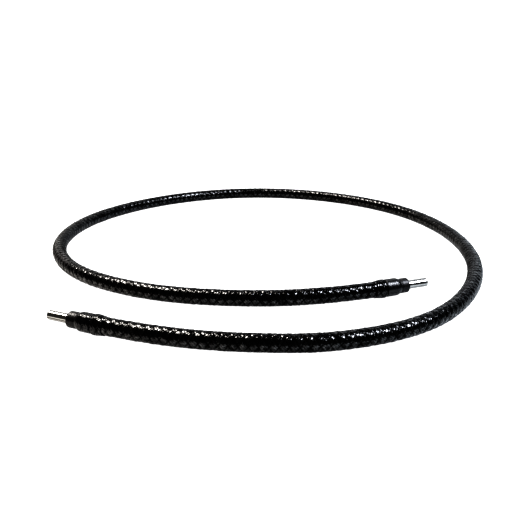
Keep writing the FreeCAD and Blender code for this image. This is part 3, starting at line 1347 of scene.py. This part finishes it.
@dataclass
class Studio:
    """Pale floor, soft lights and the camera at the photograph's angle."""

    pitch: float = 19.0  # degrees below the horizon
    lens_pixels: float = 595.1
    camera_place: tuple[float, float, float] = (0.0002, -0.7615, 0.2443)
    sensor: float = 36.0  # millimetres
    nearest: float = 0.01  # that the camera shows
    farthest: float = 60.0
    floor_radius: float = 9.0
    rim_points: int = 96
    surround_height: float = 7.0
    surround_colour: str = "#f8f8f7"
    surround_glow: float = 1.2
    paper_colour: str = "#f4f3f1"
    paper_roughness: float = 0.9
    paper_glow: float = 0.62  # how much of its light the paper gets from the table under it
    fill_strength: float = 0.5
    fill_spread: float = 150.0  # degrees
    fill_tilt: tuple[float, float] = (12.0, -8.0)  # degrees from straight down, about X and Y
    boxes: tuple[SoftBox, ...] = (
        SoftBox("left_box", (-1.7, 0.97, 3.65), "#fffaf4"),
        SoftBox("right_box", (2.98, -0.9, 4.15), "#f2f6ff"),
    )

    def camera(self) -> None:
        """Make the camera and set the scene's view of colours."""
        data = bpy.data.cameras.new("camera")
        data.sensor_width = self.sensor
        data.lens = self.lens_pixels / IMAGE_WIDTH * self.sensor
        data.clip_start = self.nearest
        data.clip_end = self.farthest
        camera = bpy.data.objects.new("camera", data)
        camera.location = self.camera_place
        camera.rotation_euler = (math.radians(90 - self.pitch), 0, 0)
        bpy.context.scene.collection.objects.link(camera)
        bpy.context.scene.camera = camera
        bpy.context.scene.view_settings.view_transform = "Standard"
        bpy.context.scene.view_settings.look = "Very High Contrast"

    def paper(self) -> bpy.types.Material:
        """Build the floor's matt white paper, which glows a little so that it stays white.

        Returns:
            The material.
        """
        made, tree = empty_material("white_studio_paper")
        feeds = {
            "Base Color": linear_colour(self.paper_colour),
            "Roughness": self.paper_roughness,
            "Emission Color": linear_colour("#ffffff"),
            "Emission Strength": self.paper_glow,
        }
        end_material(tree, feeds)
        return made

    def glow(self) -> bpy.types.Material:
        """Build the surround's even white light.

        Returns:
            The material.
        """
        made, tree = empty_material("lit_surround")
        feeds = {"Color": linear_colour(self.surround_colour), "Strength": self.surround_glow}
        light = add_node(tree, "ShaderNodeEmission", feeds=feeds)
        add_node(tree, "ShaderNodeOutputMaterial", light.outputs[0])
        return made

    def floor(self) -> None:
        """Make the pale floor, and the pale surround that only the camera sees."""
        around = self.rim_points
        rim = []
        for i in range(around):
            angle = math.tau * i / around
            rim.append((self.floor_radius * math.cos(angle), self.floor_radius * math.sin(angle), 0))
        top = [(x, y, self.surround_height) for x, y, _ in rim]
        sides = [(i, (i + 1) % around, around + (i + 1) % around, around + i) for i in range(around)]
        pieces = {
            "studio_floor": (rim, [tuple(range(around))], self.paper()),
            "studio_surround": (rim + top, sides, self.glow()),
        }
        for name, (verts, faces, finish) in pieces.items():
            mesh = bpy.data.meshes.new(name)
            mesh.from_pydata(verts, [], faces)
            mesh.materials.append(finish)
            piece = bpy.data.objects.new(name, mesh)
            piece.visible_glossy = False
            bpy.context.scene.collection.objects.link(piece)
        surround = bpy.data.objects["studio_surround"]
        surround.visible_diffuse = False
        surround.visible_transmission = False
        surround.visible_shadow = False

    def fill(self) -> None:
        """Add the even fill, which the gloss does not show."""
        data = bpy.data.lights.new("soft_fill", "SUN")
        data.energy = self.fill_strength
        data.angle = math.radians(self.fill_spread)
        fill = bpy.data.objects.new("soft_fill", data)
        fill.rotation_euler = (*(math.radians(angle) for angle in self.fill_tilt), 0)
        fill.visible_glossy = False
        bpy.context.scene.collection.objects.link(fill)

    def build(self) -> None:
        """Make the camera, floor, lights and room."""
        self.camera()
        self.floor()
        for box in self.boxes:
            box.hang()
        self.fill()
        Room().build(self.boxes)


@dataclass
class Hose:
    """The whole hose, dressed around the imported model."""

    sizes: HoseSizes = field(default_factory=HoseSizes)
    braid: Braid = field(default_factory=Braid)
    drawn_braid: Braid = Braid(rib_spacing=2.7 * MM)  # pressed together under the shrunk sleeves

    def build(self) -> None:
        """Make and declare every piece."""
        points = HoseLine().points()
        route = [Vector(point) * MM for point in ROUTE]
        # Rubber cured on the braid and wiped: every yarn glints by itself, and the gaps between them get
        # painted shade
        rubber = GlossSkin("glossy_black_rubber_cover", "#080707", 0.11, rib_depth=0.11 * MM)
        # Heat-shrunk polyolefin: evener than the rubber, with longer and softer highlights
        polyolefin = GlossSkin(
            "shrunk_black_polyolefin",
            "#070708",
            0.1,
            rib_depth=0.15 * MM,
            crinkle_depth=0.08 * MM,
            yarn_shine=0.45,
            yarn_spread=-0.2,
        )
        cover = BraidedCover(self.sizes, self.braid).build(points, rubber.material(self.braid))
        self.declare(cover, "hose_cover")

        sleeve_finish = polyolefin.material(self.drawn_braid)
        sleeves = {}
        ends = {"a": (route[0], route[1], Texture.CLEAR), "b": (route[-1], route[-2], Texture.FAINT)}
        for end, (seat, ahead, texture) in ends.items():
            sleeve = ShrunkSleeve(end, self.sizes, self.drawn_braid, texture)
            sleeves[end] = sleeve.build(seat, ahead, sleeve_finish)
            self.declare(sleeves[end], f"end_sleeve_{end}")
            axis = (ahead - seat).normalized()
            # Polished after turning: hard bright bands beside dark ones
            stub = TurnedSteel(f"polished_stainless_stub_{end}", "#a3a29f", 0.09, axis)
            self.dress(f"stub_insert_{end}", stub.material())
            # Left as turned: the same bands, blurred
            collar = TurnedSteel(f"turned_steel_collar_{end}", "#b5b4b0", 0.28, axis)
            self.dress(f"crimp_collar_{end}", collar.material())

        s = self.sizes
        wire = HoseLayer("woven_wire", s.braid_radius, s.liner_radius)
        self.declare(wire.build(points, WireBraid().material()), "wire_braid")
        liner = HoseLayer("carbon_liner", s.liner_radius, s.bore_radius)
        self.declare(liner.build(points, CarbonLiner().material()), "hose_liner")

    def declare(self, piece: bpy.types.Object, node: str) -> None:
        """Attach a piece to the root, hide the solid that it stands for, and log its faces.

        Args:
            piece: a piece made here.
            node: the solid's name.
        """
        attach(piece, "root")
        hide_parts(node)
        LOG.info("%s: %d faces", piece.name, len(piece.data.polygons))

    def dress(self, node: str, finish: bpy.types.Material) -> None:
        """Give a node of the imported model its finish."""
        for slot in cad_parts[node].material_slots:
            slot.material = finish
        LOG.info("%s: %s", node, finish.name)


def main() -> None:
    """Build the studio and the hose."""
    logging.basicConfig(level=logging.INFO, format="%(name)s: %(message)s")
    Studio().build()
    Hose().build()


if __name__ == "__main__":
    main()
